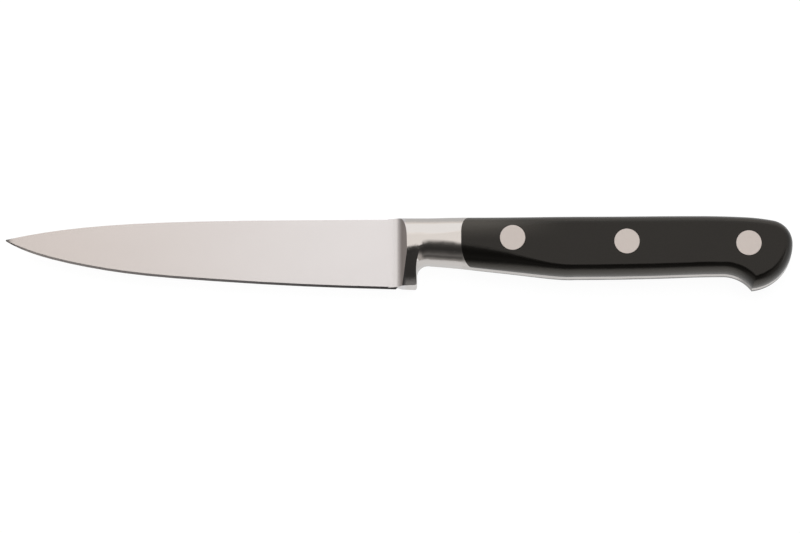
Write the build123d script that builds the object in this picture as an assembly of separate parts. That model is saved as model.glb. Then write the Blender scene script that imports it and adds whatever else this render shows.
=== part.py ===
from build123d import *
import os
from math import acos, atan2, cos, degrees, hypot, radians, sin, tan

# Paring knife with a forged bolster, a full tang and a riveted grip of two scales.
# All lengths are in millimetres. The knife is drawn with X along its length: X = 0 at the
# heel of the edge, the tip at -X and the butt at +X. Y is height above the heel of the
# edge, towards the spine. Z is across the knife, with the middle plane at Z = 0. At the
# end every piece moves to the part's own frame, where the knife lies on its right side.

# Whole knife: the grip's crest over the heel of the edge, from which the heights follow
crest_height = 18.56

# Blade
blade_length = 100.0
blade_height_share = 0.967
blade_height = crest_height * blade_height_share
spine_half = 1.0
spine_tip_half = 0.16
shoulder_half = 0.18
bevel_height = 0.62
bevel_tip_share = 0.4
blade_stations = 14
edge_stop = 0.85

# Spine and edge of the blade: distance from the heel as a share of the blade's length,
# then height as a share of the blade's height
spine_line_shares = (
    (0.0, 1.0),
    (0.25, 0.993),
    (0.50, 0.977),
    (0.76, 0.912),
    (0.89, 0.831),
    (1.0, 0.716),
)
edge_line_shares = (
    (0.0, 0.0),
    (0.25, 0.047),
    (0.50, 0.132),
    (0.70, 0.238),
    (0.85, 0.392),
    (0.94, 0.538),
    (1.0, 0.699),
)

# Bolster and heel guard. The sections at its two ends have half thickness, the height where
# they are widest, half the foot's thickness and the radius by which each side turns in.
guard_depth = 4.6
guard_lift = 0.5
guard_front_half = 5.25
guard_front_widest = 7.4
guard_front_radius = 6.0
foot_front_half = 1.2
guard_back_widest = 11.1
guard_back_radius = 8.0
foot_back_half = 3.2
heel_round = 0.5
bolster_reach = 5.0
plunge_start = 2.7
plunge_radius = 3.8
plunge_angle = 63.0
plunge_dip = 0.004

# Neck between the guard and the scales
neck_half = 5.35
neck_low_share = 0.345
neck_high_share = 0.975
neck_low = crest_height * neck_low_share
neck_high = crest_height * neck_high_share
neck_top_round = 5.0
neck_belly_round = 5.6

# Inside corner from the guard's back to the neck's underside. The belly round grows along
# it, from the round of the guard's own back edges to the neck's.
corner_radius = 2.8
corner_back_round = 1.2
corner_stations = 8

# Grip
grip_length = 100.0
grip_half = 6.0
edge_round = 2.3
scale_joint = 15.85
joint_rake = 31.5

# The neck and the front of the grip flow through evenly spaced sections, from the end of
# the inside corner to the end of the shaped front. For each, belly height, top height, half
# thickness, belly round and top round: the half thickness is a share of the grip's own and
# the others are shares of the crest's height. Behind them the grip keeps its thickness.
shaped_end = 45.0
shaped_section_shares = (
    (0.324, 0.981, 0.905, 0.305, 0.251),
    (0.300, 0.984, 0.924, 0.296, 0.233),
    (0.272, 0.984, 0.951, 0.274, 0.210),
    (0.245, 0.984, 0.981, 0.241, 0.186),
    (0.217, 0.985, 0.998, 0.199, 0.162),
    (0.188, 0.987, 1.0, 0.158, 0.141),
    (0.164, 0.989, 1.0, 0.132, 0.128),
)
back_low_share = 0.16
back_high_share = 0.991

# Belly and top of the back part are curves of two arcs, level at both ends, and each turns
# over at a share of its way. The belly's end is a share of the crest's height.
belly_end_setback = 17.7
belly_end_share = 0.2002
belly_turn_share = 0.75
top_turn_share = 0.5

# Butt: radius and turn of the arcs from the crest over to its back, then the hooked beak
butt_rounds = ((221.3, 3.0), (51.0, 8.0), (6.0, 79.0))
beak_setback = 10.4
beak_height = 0.0

# Tang
tang_front_half = 1.5
tang_butt_half = 1.1

# Rivets: the front one is placed from the heel and the rear one from the butt, and the
# middle one is a share of the way between them. Heights are shares of the crest's height.
rivet_head_diameter = 6.4
rivet_tube_diameter = 4.2
rivet_shank_diameter = 3.0
rivet_seat = 4.2
rivet_end_gap = 0.5
fit_clearance = 0.05
rivet_front_along = 28.8
rivet_rear_setback = 11.3
rivet_middle_share = 0.484
rivet_height_shares = {"front": 0.66, "middle": 0.609, "rear": 0.585}
rivet_span = grip_length - rivet_rear_setback - rivet_front_along
rivet_places = {
    "front": (rivet_front_along, crest_height * rivet_height_shares["front"]),
    "middle": (
        rivet_front_along + rivet_span * rivet_middle_share,
        crest_height * rivet_height_shares["middle"],
    ),
    "rear": (
        rivet_front_along + rivet_span,
        crest_height * rivet_height_shares["rear"],
    ),
}

# One overrun for all cuts
overrun = 8.0


def section_at(x, face):
    """A cross-section, drawn as height by depth, stood across the knife at X."""
    return Plane.YZ.offset(x) * face


def through_height(edges):
    """A plan shape, drawn as X by depth, made into a block over the whole height."""
    plan = Plane((0, beak_height - overrun, 0), x_dir=(1, 0, 0), z_dir=(0, -1, 0))
    height = crest_height + overrun * 2
    return extrude(plan * make_face(edges), amount=height, dir=(0, 1, 0))


def quarter(centre, height, depth, start):
    """A quarter of an ellipse, anticlockwise from the start angle."""
    return EllipticalCenterArc(centre, height, depth, start_angle=start, arc_size=90)


def scaled_points(shares, length, height):
    """Points of an outline from its table of shares."""
    return [(along * length, high * height) for along, high in shares]


def level_curve(start, end, turn_share):
    """Two arcs, level at both ends, that turn over at a share of the way."""
    (x, y), (end_x, end_y) = start, end
    turn = (x + (end_x - x) * turn_share, y + (end_y - y) * turn_share)
    direction = 1 if end_x > x else -1
    return [
        TangentArc(start, turn, tangent=(direction, 0)),
        TangentArc(end, turn, tangent=(-direction, 0)),
    ]


def height_at(line, x):
    """Height at X of a line that runs towards the tip."""
    low, high = 0.0, 1.0
    for _ in range(40):
        middle = (low + high) / 2
        if (line @ middle).X > x:
            low = middle
        else:
            high = middle
    return (line @ low).Y


def blade():
    """Blade: a wedge from spine to edge, thinner towards the tip, with a ground bevel."""
    spine = Spline(scaled_points(spine_line_shares, -blade_length, blade_height))
    edge = Spline(scaled_points(edge_line_shares, -blade_length, blade_height))
    sections = []
    for station in range(blade_stations + 1):
        along = station / blade_stations
        x = -blade_length * along
        top = height_at(spine, x)
        low = height_at(edge, x)
        bevel = min(bevel_height, bevel_tip_share * (top - low))
        half = spine_tip_half + (spine_half - spine_tip_half) * (1 - along**2)
        shoulder = shoulder_half * (1 - along / 2)
        outline = Polyline(
            (low, 0),
            (low + bevel, shoulder),
            (top, half),
            (top, -half),
            (low + bevel, -shoulder),
            close=True,
        )
        sections.append(section_at(x, make_face(outline)))
    wedge = loft(sections)

    # The edge stops just short of the guard, with a small slant up to the guard's foot.
    slant = Polyline(
        (-edge_stop - overrun, -overrun),
        (guard_lift - edge_stop, guard_lift),
        (overrun, guard_lift),
        (overrun, -overrun),
        close=True,
    )
    return wedge - extrude(make_face(slant), amount=overrun, both=True)


def upper_section(half, high, top_round, widest):
    """Edges of a section from its widest point up over the top, flat over the tang."""
    wall = tang_front_half
    side = half - wall
    shoulder = high - top_round
    return [
        Line((widest, half), (shoulder, half)),
        quarter((shoulder, wall), top_round, side, 0),
        Line((high, wall), (high, -wall)),
        quarter((shoulder, -wall), top_round, side, 270),
        Line((shoulder, -half), (widest, -half)),
    ]


def oval_section(low, high, half, belly_round, top_round):
    """Rounded section of the neck or grip."""
    wall = tang_front_half
    side = half - wall
    widest = low + belly_round
    lower = [
        quarter((widest, -wall), belly_round, side, 180),
        Line((low, -wall), (low, wall)),
        quarter((widest, wall), belly_round, side, 90),
    ]
    return make_face(upper_section(half, high, top_round, widest) + lower)


def guard_section(half, widest, foot, radius):
    """Section of the bolster: each side turns in by an arc, then runs straight to the foot."""
    run = widest - guard_lift
    rise = radius - (half - foot)
    turn = 90 - degrees(atan2(rise, run) + acos(radius / hypot(run, rise)))
    right = JernArc((widest, -half), (-1, 0), radius, -turn)
    left = JernArc((widest, half), (-1, 0), radius, turn)
    lower = [
        right,
        Polyline(right @ 1, (guard_lift, -foot), (guard_lift, foot), left @ 1),
        left,
    ]
    return make_face(upper_section(half, neck_high, neck_top_round, widest) + lower)


def corner_section(belly_round):
    """Section of the inside corner, as distance from the corner's axis by depth."""
    wall = tang_front_half
    side = neck_half - wall
    widest = corner_radius + belly_round
    far = neck_high + overrun
    edges = [
        quarter((widest, wall), belly_round, side, 90),
        Line((corner_radius, wall), (corner_radius, -wall)),
        quarter((widest, -wall), belly_round, side, 180),
        Polyline(
            (widest, -neck_half),
            (far, -neck_half - overrun),
            (far, neck_half + overrun),
            (widest, neck_half),
        ),
    ]
    return make_face(edges)


def inside_corner():
    """All that lies outside the inside corner, whose sections turn about its axis."""
    axis = (guard_depth + corner_radius, neck_low - corner_radius, 0)
    sections = []
    for station in range(corner_stations + 1):
        share = station / corner_stations
        growth = share**2 * (3 - 2 * share)
        belly_round = corner_back_round + (neck_belly_round - corner_back_round) * growth
        turn = radians(90 * share)
        outwards = (-cos(turn), sin(turn), 0)
        plane = Plane(axis, x_dir=outwards, z_dir=(sin(turn), cos(turn), 0))
        sections.append(plane * corner_section(belly_round))
    back = extrude(sections[0], amount=neck_low + overrun, dir=(0, -1, 0))
    return loft(sections) + back


def bolster():
    """Bolster and heel guard with the neck's root, cut back by the plunge to the blade."""
    front = guard_section(
        guard_front_half, guard_front_widest, foot_front_half, guard_front_radius
    )
    back = guard_section(neck_half, guard_back_widest, foot_back_half, guard_back_radius)
    sections = [section_at(-bolster_reach, front), section_at(guard_depth, back)]
    body = loft(sections, ruled=True)
    body += extrude(sections[-1], amount=corner_radius + overrun)
    body = body & inside_corner()
    heel = body.edges().group_by(Axis.Y)[0].filter_by_position(
        Axis.X, guard_depth - corner_back_round, guard_depth
    )
    body = fillet(heel, heel_round)

    # The plunge rises from the blade's flat in a hollow, then runs straight to the arris.
    # It leans with the flat, whose slope it follows from the edge up to the spine.
    flat_slope = (spine_half - shoulder_half) / (blade_height - bevel_height)
    base = beak_height - overrun
    flat_at_base = shoulder_half - flat_slope * (bevel_height - base)
    start = (-plunge_start, flat_at_base - plunge_dip)
    hollow = JernArc(start, (1, 0), plunge_radius, plunge_angle)
    reach = neck_half + overrun
    slope_length = reach / sin(radians(plunge_angle))
    slope = Line(hollow @ 1, (hollow @ 1) + (hollow % 1) * slope_length)
    back_x = guard_depth + corner_radius + reach
    rest = Polyline(
        slope @ 1,
        (back_x, (slope @ 1).Y),
        (back_x, -reach),
        (-plunge_start, -reach),
        start,
    )
    plan = Plane((0, base, 0), x_dir=(1, 0, 0), z_dir=(0, -1, 0))
    profile = plan * make_face([hollow, slope, rest])
    height = neck_high - base + overrun
    left = extrude(profile, amount=height, dir=(0, 1, flat_slope))
    return body & left & mirror(left, about=Plane.XY)


def shaped_front():
    """Neck and front of the grip, one flowing form behind the inside corner."""
    start = guard_depth + corner_radius
    spacing = (shaped_end - start) / (len(shaped_section_shares) + 1)
    ovals = [oval_section(neck_low, neck_high, neck_half, neck_belly_round, neck_top_round)]
    for low, high, half, belly_round, top_round in shaped_section_shares:
        heights = [share * crest_height for share in (low, high)]
        rounds = [share * crest_height for share in (belly_round, top_round)]
        ovals.append(oval_section(*heights, half * grip_half, *rounds))
    heights = [share * crest_height for share in (back_low_share, back_high_share)]
    ovals.append(oval_section(*heights, grip_half, edge_round, edge_round))

    # A copy of the second section stands ahead of the first, so that the neck starts level.
    sections = []
    for step, oval in enumerate([ovals[1]] + ovals, start=-1):
        sections.append(section_at(start + spacing * step, oval))
    return split(loft(sections), bisect_by=Plane.YZ.offset(start), keep=Keep.TOP)


def butt_arcs():
    """Arcs from the crest over to the back of the butt, a quarter turn in all."""
    run = 0.0
    turned = 0.0
    for radius, turn in butt_rounds:
        run += radius * (sin(radians(turned + turn)) - sin(radians(turned)))
        turned += turn
    point = (grip_length - run, crest_height)
    direction = (1, 0)
    arcs = []
    for radius, turn in butt_rounds:
        arcs.append(JernArc(point, direction, radius, -turn))
        point = arcs[-1] @ 1
        direction = arcs[-1] % 1
    return arcs


def back_outline():
    """Side view of the grip behind its shaped front."""
    low = (shaped_end, back_low_share * crest_height)
    high = (shaped_end, back_high_share * crest_height)
    belly_end = (grip_length - belly_end_setback, belly_end_share * crest_height)
    beak = (grip_length - beak_setback, beak_height)
    butt = butt_arcs()
    crest = tuple(butt[0] @ 0)[:2]
    edges = [
        Line(high, low),
        *level_curve(low, belly_end, belly_turn_share),
        TangentArc(belly_end, beak, tangent=(1, 0)),
        TangentArc(butt[-1] @ 1, beak, tangent=(0, -1)),
        *butt,
        *level_curve(crest, high, top_turn_share),
    ]
    return make_face(edges)


def back_half():
    """Left half of the grip behind its shaped front, with the beak and the butt."""
    # A block with its edge rounded is drawn out to the grip's thickness, and its flat
    # sides are then made true planes again.
    stretch = (grip_half - tang_front_half) / edge_round
    block = extrude(back_outline(), amount=grip_half / stretch)
    face = block.faces().sort_by(Axis.Z)[-1]
    edges = face.edges().sort_by(Axis.X)[1:]
    drawn = scale(fillet(edges, edge_round), by=(1, 1, stretch))
    faces = []
    for side in drawn.faces():
        faces.append(Face(side.outer_wire()) if side.is_planar else side)
    return Solid(Shell(faces))


def grip():
    """Neck and grip in one, before it is parted into forging and scales."""
    left = back_half()
    return shaped_front() + left + mirror(left, about=Plane.XY)


def joint_x(depth):
    """X of the raked joint between bolster and scale at a depth from the middle plane."""
    return scale_joint + (neck_half - depth) * tan(radians(joint_rake))


def tang_half_at(x):
    """Half the tang's thickness at X, which tapers to the butt."""
    start = joint_x(tang_front_half)
    return tang_front_half - (tang_front_half - tang_butt_half) * (x - start) / (grip_length - start)


def rivet_cylinder(place, diameter, low, high):
    """A round bar across the knife at a rivet, from one depth to another."""
    along, height = place
    bar = Cylinder(diameter / 2, high - low, align=(Align.CENTER, Align.CENTER, Align.MIN))
    return Pos(along, height, low) * bar


def forging(body):
    """Blade, bolster, neck and full tang in one piece of steel, with three rivet holes."""
    reach = grip_half + overrun
    end = grip_length + overrun
    front = guard_depth - overrun
    left = [
        (front, reach),
        (joint_x(reach), reach),
        (joint_x(tang_front_half), tang_front_half),
        (end, tang_half_at(end)),
    ]
    right = [(x, -depth) for x, depth in reversed(left)]
    steel = body & through_height(Polyline(*left, *right, close=True))
    steel = bolster() + steel + blade()
    hole = rivet_tube_diameter + fit_clearance * 2
    for place in rivet_places.values():
        steel -= rivet_cylinder(place, hole, -overrun, overrun)
    return steel


def scale_piece(body, side):
    """One grip scale, its front raked under the bolster, with counterbored rivet holes."""
    reach = grip_half + overrun
    end = grip_length + overrun
    plan = [
        (joint_x(reach), reach),
        (joint_x(tang_front_half), tang_front_half),
        (end, tang_half_at(end)),
        (end, reach),
    ]
    outline = Polyline(*[(x, side * depth) for x, depth in plan], close=True)
    piece = body & through_height(outline)
    hole = rivet_tube_diameter + fit_clearance * 2
    counterbore = rivet_head_diameter + fit_clearance * 2
    for place in rivet_places.values():
        piece -= rivet_cylinder(place, hole, -reach, reach)
        low, high = sorted((side * rivet_seat, side * reach))
        piece -= rivet_cylinder(place, counterbore, low, high)
    return piece


def rivet_halves(body, place):
    """The two halves of one rivet: heads ground flush, shank inside the other's tube."""
    reach = grip_half + overrun
    tip = rivet_seat - rivet_end_gap
    male = rivet_cylinder(place, rivet_head_diameter, rivet_seat, reach)
    male += rivet_cylinder(place, rivet_shank_diameter, -tip, rivet_seat)
    female = rivet_cylinder(place, rivet_head_diameter, -reach, -rivet_seat)
    female += rivet_cylinder(place, rivet_tube_diameter, -rivet_seat, tip)
    bore = rivet_shank_diameter + fit_clearance * 2
    female -= rivet_cylinder(place, bore, -rivet_seat, reach)
    return male & body, female & body


def build():
    """All pieces by name, in the drawing's frame."""
    body = grip()
    pieces = {
        "blade_forging": forging(body),
        "left_scale": scale_piece(body, 1),
        "right_scale": scale_piece(body, -1),
    }
    for name, place in rivet_places.items():
        male, female = rivet_halves(body, place)
        pieces[f"{name}_rivet_male"] = male
        pieces[f"{name}_rivet_female"] = female
    return pieces


# The part's frame: origin under the middle of the knife, which lies on its right side
pieces = build()
whole = Compound(children=[piece.solid() for piece in pieces.values()])
box = whole.bounding_box()
move = Pos(-(box.min.X + box.max.X) / 2, -(box.min.Y + box.max.Y) / 2, grip_half)

os.makedirs("parts", exist_ok=True)
for name, piece in pieces.items():
    export_step(move * piece.solid(), f"parts/{name}.step")
    print(name, round(piece.volume, 1), len(piece.solids()), piece.is_valid)
print("origin at", round(-move.position.X, 3), round(-move.position.Y, 3))
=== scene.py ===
import logging
from dataclasses import dataclass
from enum import Enum
from math import radians
from typing import Optional, Sequence, Union

import bmesh
import bpy
from mathutils import Matrix, Vector


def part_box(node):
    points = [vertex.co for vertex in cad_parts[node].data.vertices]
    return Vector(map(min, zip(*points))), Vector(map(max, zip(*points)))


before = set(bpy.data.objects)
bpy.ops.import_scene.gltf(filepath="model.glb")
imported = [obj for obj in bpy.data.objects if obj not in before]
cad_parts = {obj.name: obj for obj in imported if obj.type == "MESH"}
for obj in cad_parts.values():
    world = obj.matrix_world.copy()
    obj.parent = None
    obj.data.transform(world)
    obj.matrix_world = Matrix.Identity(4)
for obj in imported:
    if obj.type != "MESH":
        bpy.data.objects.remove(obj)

# Paring knife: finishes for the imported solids, and a plain pale studio. Lengths are in metres.
# The blade points along -X from the bolster's front at 0, and its spine faces +Y.

MM = 0.001
LOG = logging.getLogger("paring_knife")

Colour = tuple[float, float, float]
Socket = bpy.types.NodeSocket
Value = Union[float, Socket]


class Axis(Enum):
    """Axes of the frame, as places in a vector."""

    X = 0
    Y = 1
    Z = 2


class NodeSheet:
    """A material with short calls for the nodes that the finishes share."""

    def __init__(self, name: str) -> None:
        """Starts a material that holds one Principled shader.

        Args:
            name: Name of the material.
        """
        self.material = bpy.data.materials.new(name)
        self.material.use_nodes = True
        self.tree = self.material.node_tree
        self.shader = self.tree.nodes["Principled BSDF"]
        self._position: Optional[Socket] = None

    def add(self, kind: str, **settings: object) -> bpy.types.Node:
        """Adds a node and sets its properties.

        Args:
            kind: Blender's name for the type of node.
            settings: Properties of the node.

        Returns:
            The new node.
        """
        node = self.tree.nodes.new(kind)
        for key, value in settings.items():
            setattr(node, key, value)
        return node

    def feed(self, socket: Socket, value: Union[Value, Colour, Vector]) -> None:
        """Links a socket to another, or sets it to a plain value."""
        if isinstance(value, bpy.types.NodeSocket):
            self.tree.links.new(value, socket)
        else:
            socket.default_value = value

    def position(self) -> Socket:
        """Place on the piece in the part's own frame, in metres."""
        if self._position is None:
            self._position = self.add("ShaderNodeTexCoord").outputs["Object"]
        return self._position

    def part(self, vector: Socket, axis: Axis) -> Socket:
        """One coordinate of a vector."""
        node = self.add("ShaderNodeSeparateXYZ")
        self.feed(node.inputs[0], vector)
        return node.outputs[axis.value]

    def facing(self, axis: Axis) -> Socket:
        """One coordinate of the surface's normal, in the part's own frame."""
        normal = self.add("ShaderNodeNewGeometry").outputs["Normal"]
        node = self.add(
            "ShaderNodeVectorTransform",
            vector_type="NORMAL",
            convert_from="WORLD",
            convert_to="OBJECT",
        )
        self.feed(node.inputs[0], normal)
        return self.part(node.outputs[0], axis)

    def math(self, operation: str, first: Value, second: Value = 0.0) -> Socket:
        """Result of one sum.

        Args:
            operation: Blender's name for the sum.
            first: First number or socket.
            second: Second number or socket.

        Returns:
            The socket that holds the result.
        """
        node = self.add("ShaderNodeMath", operation=operation)
        self.feed(node.inputs[0], first)
        self.feed(node.inputs[1], second)
        return node.outputs[0]

    def ease(self, value: Value, low: float, high: float) -> Socket:
        """Rises smoothly from 0 at low to 1 at high.

        Args:
            value: Number or socket to read.
            low: Where the rise starts.
            high: Where it ends.

        Returns:
            The socket that holds the result.
        """
        node = self.add("ShaderNodeMapRange", interpolation_type="SMOOTHSTEP")
        self.feed(node.inputs["Value"], value)
        self.feed(node.inputs["From Min"], low)
        self.feed(node.inputs["From Max"], high)
        return node.outputs["Result"]

    def span(self, value: Value, low: float, high: float) -> Socket:
        """Runs from low to high as the value runs from 0 to 1."""
        node = self.add("ShaderNodeMapRange")
        self.feed(node.inputs["Value"], value)
        self.feed(node.inputs["To Min"], low)
        self.feed(node.inputs["To Max"], high)
        return node.outputs["Result"]

    def blend(self, share: Value, first: Value, second: Value) -> Socket:
        """Mixes two numbers.

        Args:
            share: 0 for the first and 1 for the second.
            first: First number or socket.
            second: Second number or socket.

        Returns:
            The socket that holds the mix.
        """
        node = self.add("ShaderNodeMix", data_type="FLOAT")
        self.feed(node.inputs[0], share)
        self.feed(node.inputs[2], first)
        self.feed(node.inputs[3], second)
        return node.outputs[0]

    def tint(
        self,
        share: Value,
        first: Union[Socket, Colour],
        second: Union[Socket, Colour],
    ) -> Socket:
        """Mixes two colours.

        Args:
            share: 0 for the first and 1 for the second.
            first: First colour or socket.
            second: Second colour or socket.

        Returns:
            The socket that holds the mix.
        """
        node = self.add("ShaderNodeMix", data_type="RGBA")
        self.feed(node.inputs[0], share)
        for socket, colour in ((node.inputs[6], first), (node.inputs[7], second)):
            linked = isinstance(colour, bpy.types.NodeSocket)
            self.feed(socket, colour if linked else (*colour, 1.0))
        return node.outputs[2]

    def scaled(self, colour: Socket, factor: Value) -> Socket:
        """Multiplies a colour by a number."""
        node = self.add("ShaderNodeVectorMath", operation="SCALE")
        self.feed(node.inputs[0], colour)
        self.feed(node.inputs["Scale"], factor)
        return node.outputs[0]

    def soft_step(self, value: Value, middle: float, half: float) -> Socket:
        """Rises smoothly from 0 to 1 around a middle, or falls where half is negative."""
        return self.ease(value, middle - half, middle + half)

    def wobble(self, value: Value, middle: float, half: float) -> Socket:
        """Turns a number from 0 to 1 into one around a middle, half to each side."""
        return self.span(value, middle - half, middle + half)

    def noise(
        self,
        grain: Sequence[float],
        detail: float = 2.0,
        rough_share: float = 0.5,
    ) -> Socket:
        """Smooth noise whose grain has its own size along each axis.

        Args:
            grain: Size of the grain along X, Y and Z, in metres.
            detail: Octaves of the noise.
            rough_share: Weight of each octave against the one before.

        Returns:
            The socket that holds a number from 0 to 1.
        """
        mapping = self.add("ShaderNodeMapping")
        self.feed(mapping.inputs["Vector"], self.position())
        mapping.inputs["Scale"].default_value = [1.0 / size for size in grain]
        node = self.add("ShaderNodeTexNoise")
        self.feed(node.inputs["Vector"], mapping.outputs[0])
        node.inputs["Scale"].default_value = 1.0
        node.inputs["Detail"].default_value = detail
        node.inputs["Roughness"].default_value = rough_share
        return node.outputs["Fac"]

    def bump(self, height: Value, depth: float) -> Socket:
        """Tilts the normal by a height.

        Args:
            height: Socket that runs from 0 to 1.
            depth: Depth of the relief, in metres.

        Returns:
            The socket that holds the normal.
        """
        node = self.add("ShaderNodeBump")
        node.inputs["Strength"].default_value = 1.0
        node.inputs["Distance"].default_value = depth
        self.feed(node.inputs["Height"], height)
        return node.outputs["Normal"]

    def finish(self, **inputs: Union[Value, Colour]) -> bpy.types.Material:
        """Feeds the shader's sockets, named with _ for a space, and returns the material."""
        for name, value in inputs.items():
            title = name.replace("_", " ")
            socket = next(s for s in self.shader.inputs if s.name.lower() == title)
            self.feed(socket, (*value, 1.0) if isinstance(value, tuple) else value)
        return self.material


@dataclass(frozen=True)
class Grain:
    """Fine pattern of a finish."""

    size: tuple[float, float, float]
    detail: float = 2.0
    rough_share: float = 0.5

    def noise(self, sheet: NodeSheet) -> Socket:
        """Adds the pattern to a material as a number from 0 to 1."""
        return sheet.noise(self.size, self.detail, self.rough_share)


@dataclass(frozen=True)
class ForgedSteel:
    """Steel of the blade, the bolster and the tang, each with its own grind.

    The plunge is the slope from the blade's flats up to the bolster, and the arris is the line
    where it ends. Scatter is the share of light that a satin flat spreads evenly, and the foot
    of the heel guard has some too. Real steel is one colour all over: the darker tip and plunge
    are painted shade, and they and the foot's scatter are set to the photograph's tones.
    """

    colour: Colour = (0.84, 0.81, 0.815)
    # Painted shade: the blade's colour darkens towards the tip.
    tip_painted_shade: Colour = (0.70, 0.64, 0.61)
    bolster_colour: Colour = (0.78, 0.74, 0.71)
    # Painted shade: the plunge's slope is darker than the steel around it.
    plunge_painted_shade: Colour = (0.27, 0.245, 0.23)
    shade: float = 0.95
    blade_length: float = 100.0 * MM
    arris: float = 1.6 * MM
    arris_blend: float = 0.4 * MM
    scale_start: float = 16.0 * MM
    scale_blend: float = 0.3 * MM
    grind_end: float = -1.0 * MM
    grind_blend: float = 0.6 * MM
    plunge_start: float = -0.95 * MM
    plunge_end: float = 0.9 * MM
    plunge_slope: tuple[float, float] = (-0.35, -0.62)
    bevel_slope: tuple[float, float] = (-0.3, -0.12)
    cloud: Grain = Grain((26 * MM, 9 * MM, 30 * MM))
    grind: Grain = Grain((0.12 * MM, 9 * MM, 9 * MM), detail=3.0, rough_share=0.6)
    polish: Grain = Grain((5 * MM, 5 * MM, 5 * MM))
    linish: Grain = Grain((7 * MM, 0.1 * MM, 0.1 * MM), detail=3.0, rough_share=0.6)
    blade_roughness: float = 0.16
    plunge_roughness: float = 0.36
    grind_spread: float = 0.05
    bolster_roughness: float = 0.1
    polish_spread: float = 0.03
    tang_roughness: float = 0.3
    linish_spread: float = 0.06
    relief_depth: float = 0.0008 * MM
    polish_relief: float = 0.05
    flat_scatter: float = 0.25
    foot_start: float = -6.4 * MM
    foot_end: float = -8.6 * MM
    foot_scatter: float = 0.18

    def material(self) -> bpy.types.Material:
        """Builds the material.

        Returns:
            A material with a satin blade, a ground plunge, a polished bolster and a ground tang.
        """
        sheet = NodeSheet("forged_steel")
        x = sheet.part(sheet.position(), Axis.X)
        past_blade = sheet.soft_step(x, self.arris, self.arris_blend)
        past_bolster = sheet.soft_step(x, self.scale_start, self.scale_blend)
        turned = sheet.ease(sheet.facing(Axis.X), *self.plunge_slope)
        plunge = sheet.math("MULTIPLY", turned, sheet.ease(x, self.plunge_start, self.plunge_end))
        grind = self.grind.noise(sheet)
        polish = self.polish.noise(sheet)
        linish = self.linish.noise(sheet)

        # Painted shade: the blade darkens towards its tip.
        colour = sheet.tint(sheet.ease(x, -self.blade_length, 0.0), self.tip_painted_shade, self.colour)
        colour = sheet.tint(past_blade, colour, self.bolster_colour)
        # Painted shade on the plunge's slope.
        colour = sheet.tint(plunge, colour, self.plunge_painted_shade)
        colour = sheet.scaled(colour, sheet.span(self.cloud.noise(sheet), 1.0, self.shade))

        blade = sheet.wobble(grind, self.blade_roughness, self.grind_spread)
        facet = sheet.wobble(grind, self.plunge_roughness, self.grind_spread)
        bolster = sheet.wobble(polish, self.bolster_roughness, self.polish_spread)
        tang = sheet.wobble(linish, self.tang_roughness, self.linish_spread)
        roughness = sheet.blend(past_blade, blade, bolster)
        roughness = sheet.blend(plunge, roughness, facet)
        roughness = sheet.blend(past_bolster, roughness, tang)

        relief = sheet.blend(past_blade, grind, sheet.wobble(polish, 0.5, self.polish_relief))
        relief = sheet.blend(past_bolster, relief, linish)
        return sheet.finish(
            base_color=colour,
            metallic=self.metallic(sheet, past_blade, past_bolster),
            roughness=roughness,
            normal=sheet.bump(relief, self.relief_depth),
        )

    def metallic(self, sheet: NodeSheet, past_blade: Socket, past_bolster: Socket) -> Socket:
        """Share of the light that mirrors, lower on the blade's flats and on the guard's foot.

        Args:
            sheet: Material that gets the nodes.
            past_blade: 1 past the blade and its plunge.
            past_bolster: 1 past the bolster, along the tang.

        Returns:
            The socket that holds the share.
        """
        x = sheet.part(sheet.position(), Axis.X)
        y = sheet.part(sheet.position(), Axis.Y)
        grinds = sheet.soft_step(x, self.grind_end, -self.grind_blend)
        level = sheet.ease(sheet.facing(Axis.Y), *self.bevel_slope)
        flats = sheet.math("MULTIPLY", grinds, level)
        foot = sheet.math("MULTIPLY", past_blade, sheet.ease(y, self.foot_start, self.foot_end))
        foot = sheet.blend(past_bolster, foot, 0.0)
        share = sheet.blend(flats, 1.0, 1.0 - self.flat_scatter)
        return sheet.blend(foot, share, 1.0 - self.foot_scatter)


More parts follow.
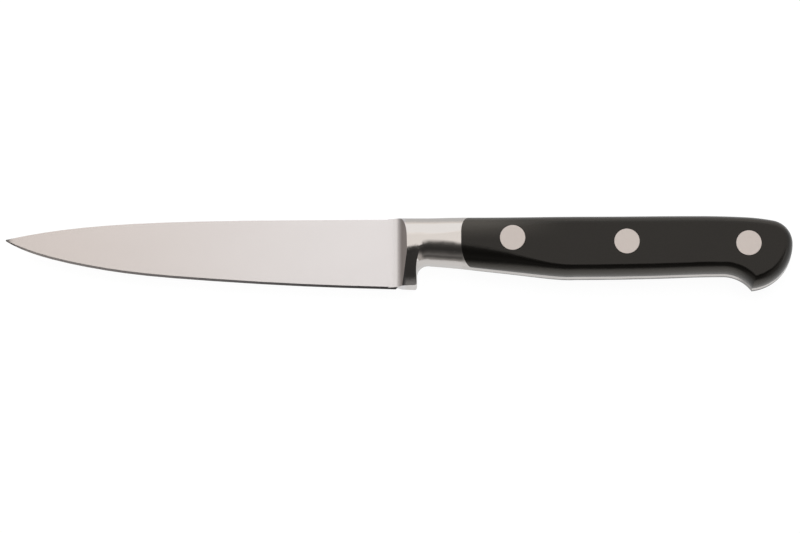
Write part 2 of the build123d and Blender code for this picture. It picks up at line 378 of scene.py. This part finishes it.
@dataclass(frozen=True)
class MouldedPlastic:
    """Black plastic of the scales, with a soft gloss.

    A paler tone is painted on the upper part of the grip's front, and along its rounded spine
    and belly, as painted light. It is set to the photograph's tones, and stands in for light
    that the cards don't throw there.
    """

    colour: Colour = (0.0024, 0.0021, 0.0017)
    worn: Colour = (0.0046, 0.0041, 0.0035)
    # Painted light: a paler tone on the grip's upper front and on its rounded spine and belly.
    painted_light: Colour = (0.06, 0.054, 0.046)
    painted_light_start: float = 44.0 * MM
    painted_light_end: float = 20.0 * MM
    painted_light_low: float = 2.0 * MM
    painted_light_high: float = 9.0 * MM
    spine_slope: tuple[float, float] = (0.2, 0.7)
    spine_share: float = 0.5
    belly_slope: tuple[float, float] = (-0.64, -0.96)
    belly_share: float = 0.8
    sheen: Colour = (1.0, 0.95, 0.89)
    ior: float = 1.46
    roughness: float = 0.22
    cloud: Grain = Grain((14 * MM, 8 * MM, 8 * MM), detail=3.0)
    cloud_spread: float = 0.03
    grain: Grain = Grain((0.22 * MM, 0.22 * MM, 0.22 * MM))
    grain_spread: float = 0.02
    relief_depth: float = 0.0012 * MM

    def material(self) -> bpy.types.Material:
        """Builds the material.

        Returns:
            A near-black material with a fine uneven gloss.
        """
        sheet = NodeSheet("moulded_plastic")
        cloud = self.cloud.noise(sheet)
        grain = self.grain.noise(sheet)
        colour = sheet.tint(cloud, self.colour, self.worn)
        place = sheet.position()
        # Painted light: paler on the upper front of the grip, and on its rounded spine and belly.
        forwards = sheet.ease(sheet.part(place, Axis.X), self.painted_light_start, self.painted_light_end)
        upwards = sheet.ease(sheet.part(place, Axis.Y), self.painted_light_low, self.painted_light_high)
        painted_light = sheet.math("MULTIPLY", forwards, upwards)
        across = sheet.facing(Axis.Y)
        for slope, share in (
            (self.spine_slope, self.spine_share),
            (self.belly_slope, self.belly_share),
        ):
            edge = sheet.math("MULTIPLY", sheet.ease(across, *slope), share)
            painted_light = sheet.math("MAXIMUM", painted_light, edge)
        colour = sheet.tint(painted_light, colour, self.painted_light)
        broad = sheet.wobble(cloud, 0.0, self.cloud_spread)
        fine = sheet.wobble(grain, 0.0, self.grain_spread)
        roughness = sheet.math("ADD", sheet.math("ADD", broad, fine), self.roughness)
        normal = sheet.bump(grain, self.relief_depth)
        return sheet.finish(
            base_color=colour,
            roughness=roughness,
            ior=self.ior,
            specular_tint=self.sheen,
            normal=normal,
        )


@dataclass(frozen=True)
class RivetMetal:
    """Pale metal of the rivets, ground flush with the scales."""

    colour: Colour = (0.625, 0.565, 0.53)
    shade: Colour = (0.585, 0.525, 0.495)
    shade_share: float = 0.6
    roughness: float = 0.3
    grind_spread: float = 0.06
    cloud: Grain = Grain((4 * MM, 4 * MM, 4 * MM))
    grind: Grain = Grain((5 * MM, 0.09 * MM, 5 * MM), detail=3.0, rough_share=0.6)
    relief_depth: float = 0.001 * MM
    scatter: float = 0.25

    def material(self) -> bpy.types.Material:
        """Builds the material.

        Returns:
            A satin metal with fine grinding marks along the knife.
        """
        sheet = NodeSheet("rivet_metal")
        cloud = self.cloud.noise(sheet)
        grind = self.grind.noise(sheet)
        colour = sheet.tint(sheet.span(cloud, 0.0, self.shade_share), self.colour, self.shade)
        return sheet.finish(
            base_color=colour,
            metallic=1.0 - self.scatter,
            roughness=sheet.wobble(grind, self.roughness, self.grind_spread),
            normal=sheet.bump(grind, self.relief_depth),
        )


def dress(node: str, material: bpy.types.Material) -> bpy.types.Object:
    """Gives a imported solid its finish.

    Args:
        node: Name of the solid's node.
        material: Finish of the piece.

    Returns:
        The node's object.
    """
    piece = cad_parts[node]
    if not piece.material_slots:
        piece.data.materials.append(None)
    for place in piece.material_slots:
        place.link = "OBJECT"
        place.material = material
    low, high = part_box(node)
    LOG.info("%s dressed with %s, %.1f mm long", node, material.name, (high - low).x / MM)
    return piece


@dataclass
class Forging:
    """Blade, bolster, neck and tang in one piece of steel."""

    node: str = "blade_forging"
    finish: ForgedSteel = ForgedSteel()

    def build(self) -> None:
        """Dresses the forging."""
        dress(self.node, self.finish.material())


@dataclass
class Grip:
    """The two scales, one on each side of the tang."""

    nodes: tuple[str, ...] = ("left_scale", "right_scale")
    finish: MouldedPlastic = MouldedPlastic()

    def build(self) -> None:
        """Dresses both scales."""
        material = self.finish.material()
        for node in self.nodes:
            dress(node, material)


@dataclass
class Rivets:
    """The halves of the three cutlery rivets."""

    places: tuple[str, ...] = ("front", "middle", "rear")
    halves: tuple[str, ...] = ("male", "female")
    finish: RivetMetal = RivetMetal()

    def build(self) -> None:
        """Dresses both halves of each rivet."""
        material = self.finish.material()
        for place in self.places:
            for half in self.halves:
                dress(f"{place}_rivet_{half}", material)


@dataclass(frozen=True)
class Card:
    """A curved card round the knife that shows only in reflections, and shades along its arc.

    Angles are in degrees. The bearing is anticlockwise from +X in plan. Each level is an angle
    from straight overhead, towards the bearing, and how bright the card is there. Its sides
    are in metres from the line of its bearing. Towards them it may fade to another colour,
    from just past overhead downwards.
    """

    name: str
    bearing: float
    sides: tuple[float, float]
    levels: tuple[tuple[float, float], ...]
    tone: Colour = (1.0, 0.97, 0.94)
    fade: Optional[Colour] = None
    fade_start: float = 0.45
    fade_end: float = 1.5
    fade_full: float = 16.0
    fade_share: float = 0.95
    reach: float = 1.4
    steps: int = 24
    ramp_start: float = -90.0
    ramp_length: float = 180.0

    def point(self, angle: float, across: float) -> Vector:
        """A point of the card.

        Args:
            angle: Angle from overhead, in degrees.
            across: Place across the card, in metres from its middle.

        Returns:
            The point, in metres.
        """
        place = Matrix.Rotation(radians(angle), 4, "Y") @ Vector((0.0, 0.0, self.reach))
        place.y = across
        return Matrix.Rotation(radians(self.bearing), 4, "Z") @ place

    def material(self) -> bpy.types.Material:
        """Builds the card's plain glow.

        Returns:
            A material that follows the levels along the card's arc.
        """
        sheet = NodeSheet(self.name)
        turned = sheet.add("ShaderNodeVectorRotate", rotation_type="Z_AXIS")
        sheet.feed(turned.inputs["Vector"], sheet.position())
        turned.inputs["Angle"].default_value = -radians(self.bearing)
        outwards = sheet.part(turned.outputs[0], Axis.X)
        upwards = sheet.part(turned.outputs[0], Axis.Z)
        angle = sheet.math("DEGREES", sheet.math("ARCTAN2", outwards, upwards))
        along = sheet.math("SUBTRACT", angle, self.ramp_start)
        along = sheet.math("DIVIDE", along, self.ramp_length)
        ramp = sheet.add("ShaderNodeValToRGB")
        sheet.feed(ramp.inputs[0], along)
        stops = ramp.color_ramp.elements
        while len(stops) < len(self.levels):
            stops.new(0.5)
        for stop, (place, level) in zip(stops, self.levels):
            stop.position = (place - self.ramp_start) / self.ramp_length
            stop.color = (*[part * level for part in self.tone], 1.0)
        colour = ramp.outputs["Color"]
        if self.fade is not None:
            across = sheet.math("ABSOLUTE", sheet.part(turned.outputs[0], Axis.Y))
            aside = sheet.ease(across, self.fade_start, self.fade_end)
            share = sheet.math("MULTIPLY", aside, self.fade_share)
            share = sheet.math("MULTIPLY", share, sheet.ease(angle, 0.0, self.fade_full))
            colour = sheet.tint(share, colour, self.fade)
        glow = sheet.add("ShaderNodeEmission")
        sheet.feed(glow.inputs["Color"], colour)
        sheet.feed(sheet.tree.nodes["Material Output"].inputs["Surface"], glow.outputs[0])
        return sheet.material

    def build(self) -> None:
        """Builds the card."""
        mesh = bpy.data.meshes.new(self.name)
        shape = bmesh.new()
        first, last = self.levels[0][0], self.levels[-1][0]
        rows = []
        for step in range(self.steps + 1):
            angle = first + (last - first) * step / self.steps
            rows.append([shape.verts.new(self.point(angle, side)) for side in self.sides])
        for near, far in zip(rows, rows[1:]):
            shape.faces.new((near[0], far[0], far[1], near[1]))
        shape.to_mesh(mesh)
        shape.free()
        mesh.materials.append(self.material())
        card = bpy.data.objects.new(self.name, mesh)
        bpy.context.scene.collection.objects.link(card)
        card.visible_camera = False
        card.visible_diffuse = False
        card.visible_shadow = False


# Levels of the cards: degrees from overhead, and how bright the card is there. They are set
# so that the polished neck and the plunge mirror tones like those of the photograph.
FRONT_LEVELS = (
    (-24.0, 1.0),
    (-14.0, 0.9),
    (-8.0, 0.93),
    (-5.0, 0.92),
    (-2.5, 0.6),
    (0.5, 0.13),
    (5.0, 0.06),
    (14.0, 0.036),
    (26.0, 0.032),
    (36.0, 0.06),
    (50.0, 0.14),
    (56.0, 0.1),
    (64.0, 0.085),
    (72.0, 0.16),
    (81.0, 0.28),
    (89.0, 0.34),
)
SIDE_LEVELS = (
    (6.0, 0.92),
    (40.0, 0.86),
    (66.0, 0.84),
    (76.0, 0.8),
    (82.0, 0.7),
    (89.0, 0.6),
)
BACK_LEVELS = (
    (70.0, 1.0),
    (80.0, 0.8),
    (89.0, 0.6),
)


@dataclass
class Studio:
    """Pale floor, soft light, cards for the reflections and the camera.

    The floor is white to the camera, and reflections see it with a painted pool of light at the
    levels given here: front on the belly's side of the knife, near and far, and back on the
    spine's side.
    """

    floor_size: float = 6.0
    floor_colour: Colour = (0.92, 0.92, 0.92)
    floor_roughness: float = 0.9
    white_share: float = 0.88
    white_level: float = 1.06
    # Painted light: how bright the floor glows in reflections, near and far on the belly's side
    # and behind the spine.
    front_near: float = 0.72
    front_far: float = 0.55
    front_reach: float = 0.12
    middle_blend: float = 0.01
    back_level: float = 0.55
    fill_level: float = 0.6
    lamp_size: float = 1.2
    lamp_power: float = 9.0
    lamp_place: tuple[float, float, float] = (0.15, 0.55, 1.2)
    cards: tuple[Card, ...] = (
        Card(
            "front_card",
            bearing=-90.0,
            sides=(-2.8, 2.8),
            levels=FRONT_LEVELS,
            fade=(0.42, 0.40, 0.385),
        ),
        Card("tip_card", bearing=180.0, sides=(-1.4, 0.0), levels=SIDE_LEVELS),
        Card("butt_card", bearing=0.0, sides=(0.0, 1.4), levels=SIDE_LEVELS),
        Card("back_card", bearing=90.0, sides=(-1.8, 1.8), levels=BACK_LEVELS),
    )
    tilt: float = 12.3
    distance: float = 1.779
    lens: float = 315.0
    sensor: float = 36.0
    aim: tuple[float, float, float] = (0.25 * MM, -3.3 * MM, 6.0 * MM)

    def build(self) -> None:
        """Builds the whole studio."""
        self.world()
        self.floor()
        self.lamp()
        for card in self.cards:
            card.build()
        self.camera()

    @staticmethod
    def rays(tree: bpy.types.NodeTree, *kinds: str) -> Socket:
        """A socket that is 1 for rays of any of the kinds.

        Args:
            tree: Tree that gets the nodes.
            kinds: Names of the Light Path sockets.

        Returns:
            The socket that holds 0 or 1.
        """
        path = tree.nodes.new("ShaderNodeLightPath")
        total: Socket = path.outputs[kinds[0]]
        for kind in kinds[1:]:
            node = tree.nodes.new("ShaderNodeMath")
            node.operation = "MAXIMUM"
            tree.links.new(total, node.inputs[0])
            tree.links.new(path.outputs[kind], node.inputs[1])
            total = node.outputs[0]
        return total

    def world(self) -> None:
        """White for the camera and in reflections, and a soft even fill for the rest."""
        world = bpy.data.worlds.new("studio_world")
        world.use_nodes = True
        bpy.context.scene.world = world
        tree = world.node_tree
        back = tree.nodes["Background"]
        back.inputs["Color"].default_value = (1.0, 1.0, 1.0, 1.0)
        level = tree.nodes.new("ShaderNodeMapRange")
        seen = self.rays(tree, "Is Camera Ray", "Is Glossy Ray", "Is Transmission Ray")
        tree.links.new(seen, level.inputs["Value"])
        level.inputs["To Min"].default_value = self.fill_level
        level.inputs["To Max"].default_value = 1.0
        tree.links.new(level.outputs["Result"], back.inputs["Strength"])

    def floor(self) -> None:
        """A white table that keeps a faint shadow of the knife."""
        mesh = bpy.data.meshes.new("floor")
        shape = bmesh.new()
        bmesh.ops.create_grid(shape, x_segments=1, y_segments=1, size=self.floor_size / 2)
        shape.to_mesh(mesh)
        shape.free()
        floor = bpy.data.objects.new("floor", mesh)
        bpy.context.scene.collection.objects.link(floor)
        sheet = NodeSheet("white_table")
        sheet.finish(
            base_color=self.floor_colour,
            roughness=self.floor_roughness,
            specular_ior_level=0.0,
        )
        # Painted light: in reflections the floor glows brighter near the knife's belly side than
        # far off or behind its spine.
        place = sheet.part(sheet.position(), Axis.Y)
        nearness = sheet.ease(place, -self.front_reach, 0.0)
        front = sheet.blend(nearness, self.front_far, self.front_near)
        painted_light_pool = sheet.blend(sheet.soft_step(place, 0.0, self.middle_blend), front, self.back_level)
        glow = sheet.add("ShaderNodeEmission")
        glossy = self.rays(sheet.tree, "Is Glossy Ray")
        sheet.feed(glow.inputs["Strength"], sheet.blend(glossy, self.white_level, painted_light_pool))
        both = sheet.add("ShaderNodeMixShader")
        seen = self.rays(sheet.tree, "Is Camera Ray", "Is Glossy Ray", "Is Transmission Ray")
        sheet.feed(both.inputs[0], sheet.math("MULTIPLY", seen, self.white_share))
        sheet.feed(both.inputs[1], sheet.shader.outputs[0])
        sheet.feed(both.inputs[2], glow.outputs[0])
        sheet.feed(sheet.tree.nodes["Material Output"].inputs["Surface"], both.outputs[0])
        mesh.materials.append(sheet.material)

    def lamp(self) -> None:
        """A large soft lamp above and behind the knife."""
        data = bpy.data.lights.new("soft_lamp", "AREA")
        data.shape = "SQUARE"
        data.size = self.lamp_size
        data.energy = self.lamp_power
        lamp = bpy.data.objects.new("soft_lamp", data)
        bpy.context.scene.collection.objects.link(lamp)
        lamp.location = self.lamp_place
        lamp.rotation_euler = (-Vector(self.lamp_place)).to_track_quat("-Z", "Y").to_euler()
        lamp.visible_glossy = False

    def camera(self) -> None:
        """The camera at the photograph's angle, above the knife and a little to its belly side."""
        data = bpy.data.cameras.new("camera")
        data.lens = self.lens
        data.sensor_width = self.sensor
        camera = bpy.data.objects.new("camera", data)
        bpy.context.scene.collection.objects.link(camera)
        camera.rotation_euler = (radians(self.tilt), 0.0, 0.0)
        turn = Matrix.Rotation(radians(self.tilt), 4, "X")
        camera.location = Vector(self.aim) + turn @ Vector((0.0, 0.0, self.distance))
        bpy.context.scene.camera = camera


def set_view() -> None:
    """Keeps the picture's colours plain."""
    bpy.context.scene.view_settings.view_transform = "Standard"


def main() -> None:
    """Builds the scene piece by piece."""
    logging.basicConfig(level=logging.INFO, format="%(name)s: %(message)s")
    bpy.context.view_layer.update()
    set_view()
    Forging().build()
    Grip().build()
    Rivets().build()
    Studio().build()


if __name__ == "__main__":
    main()
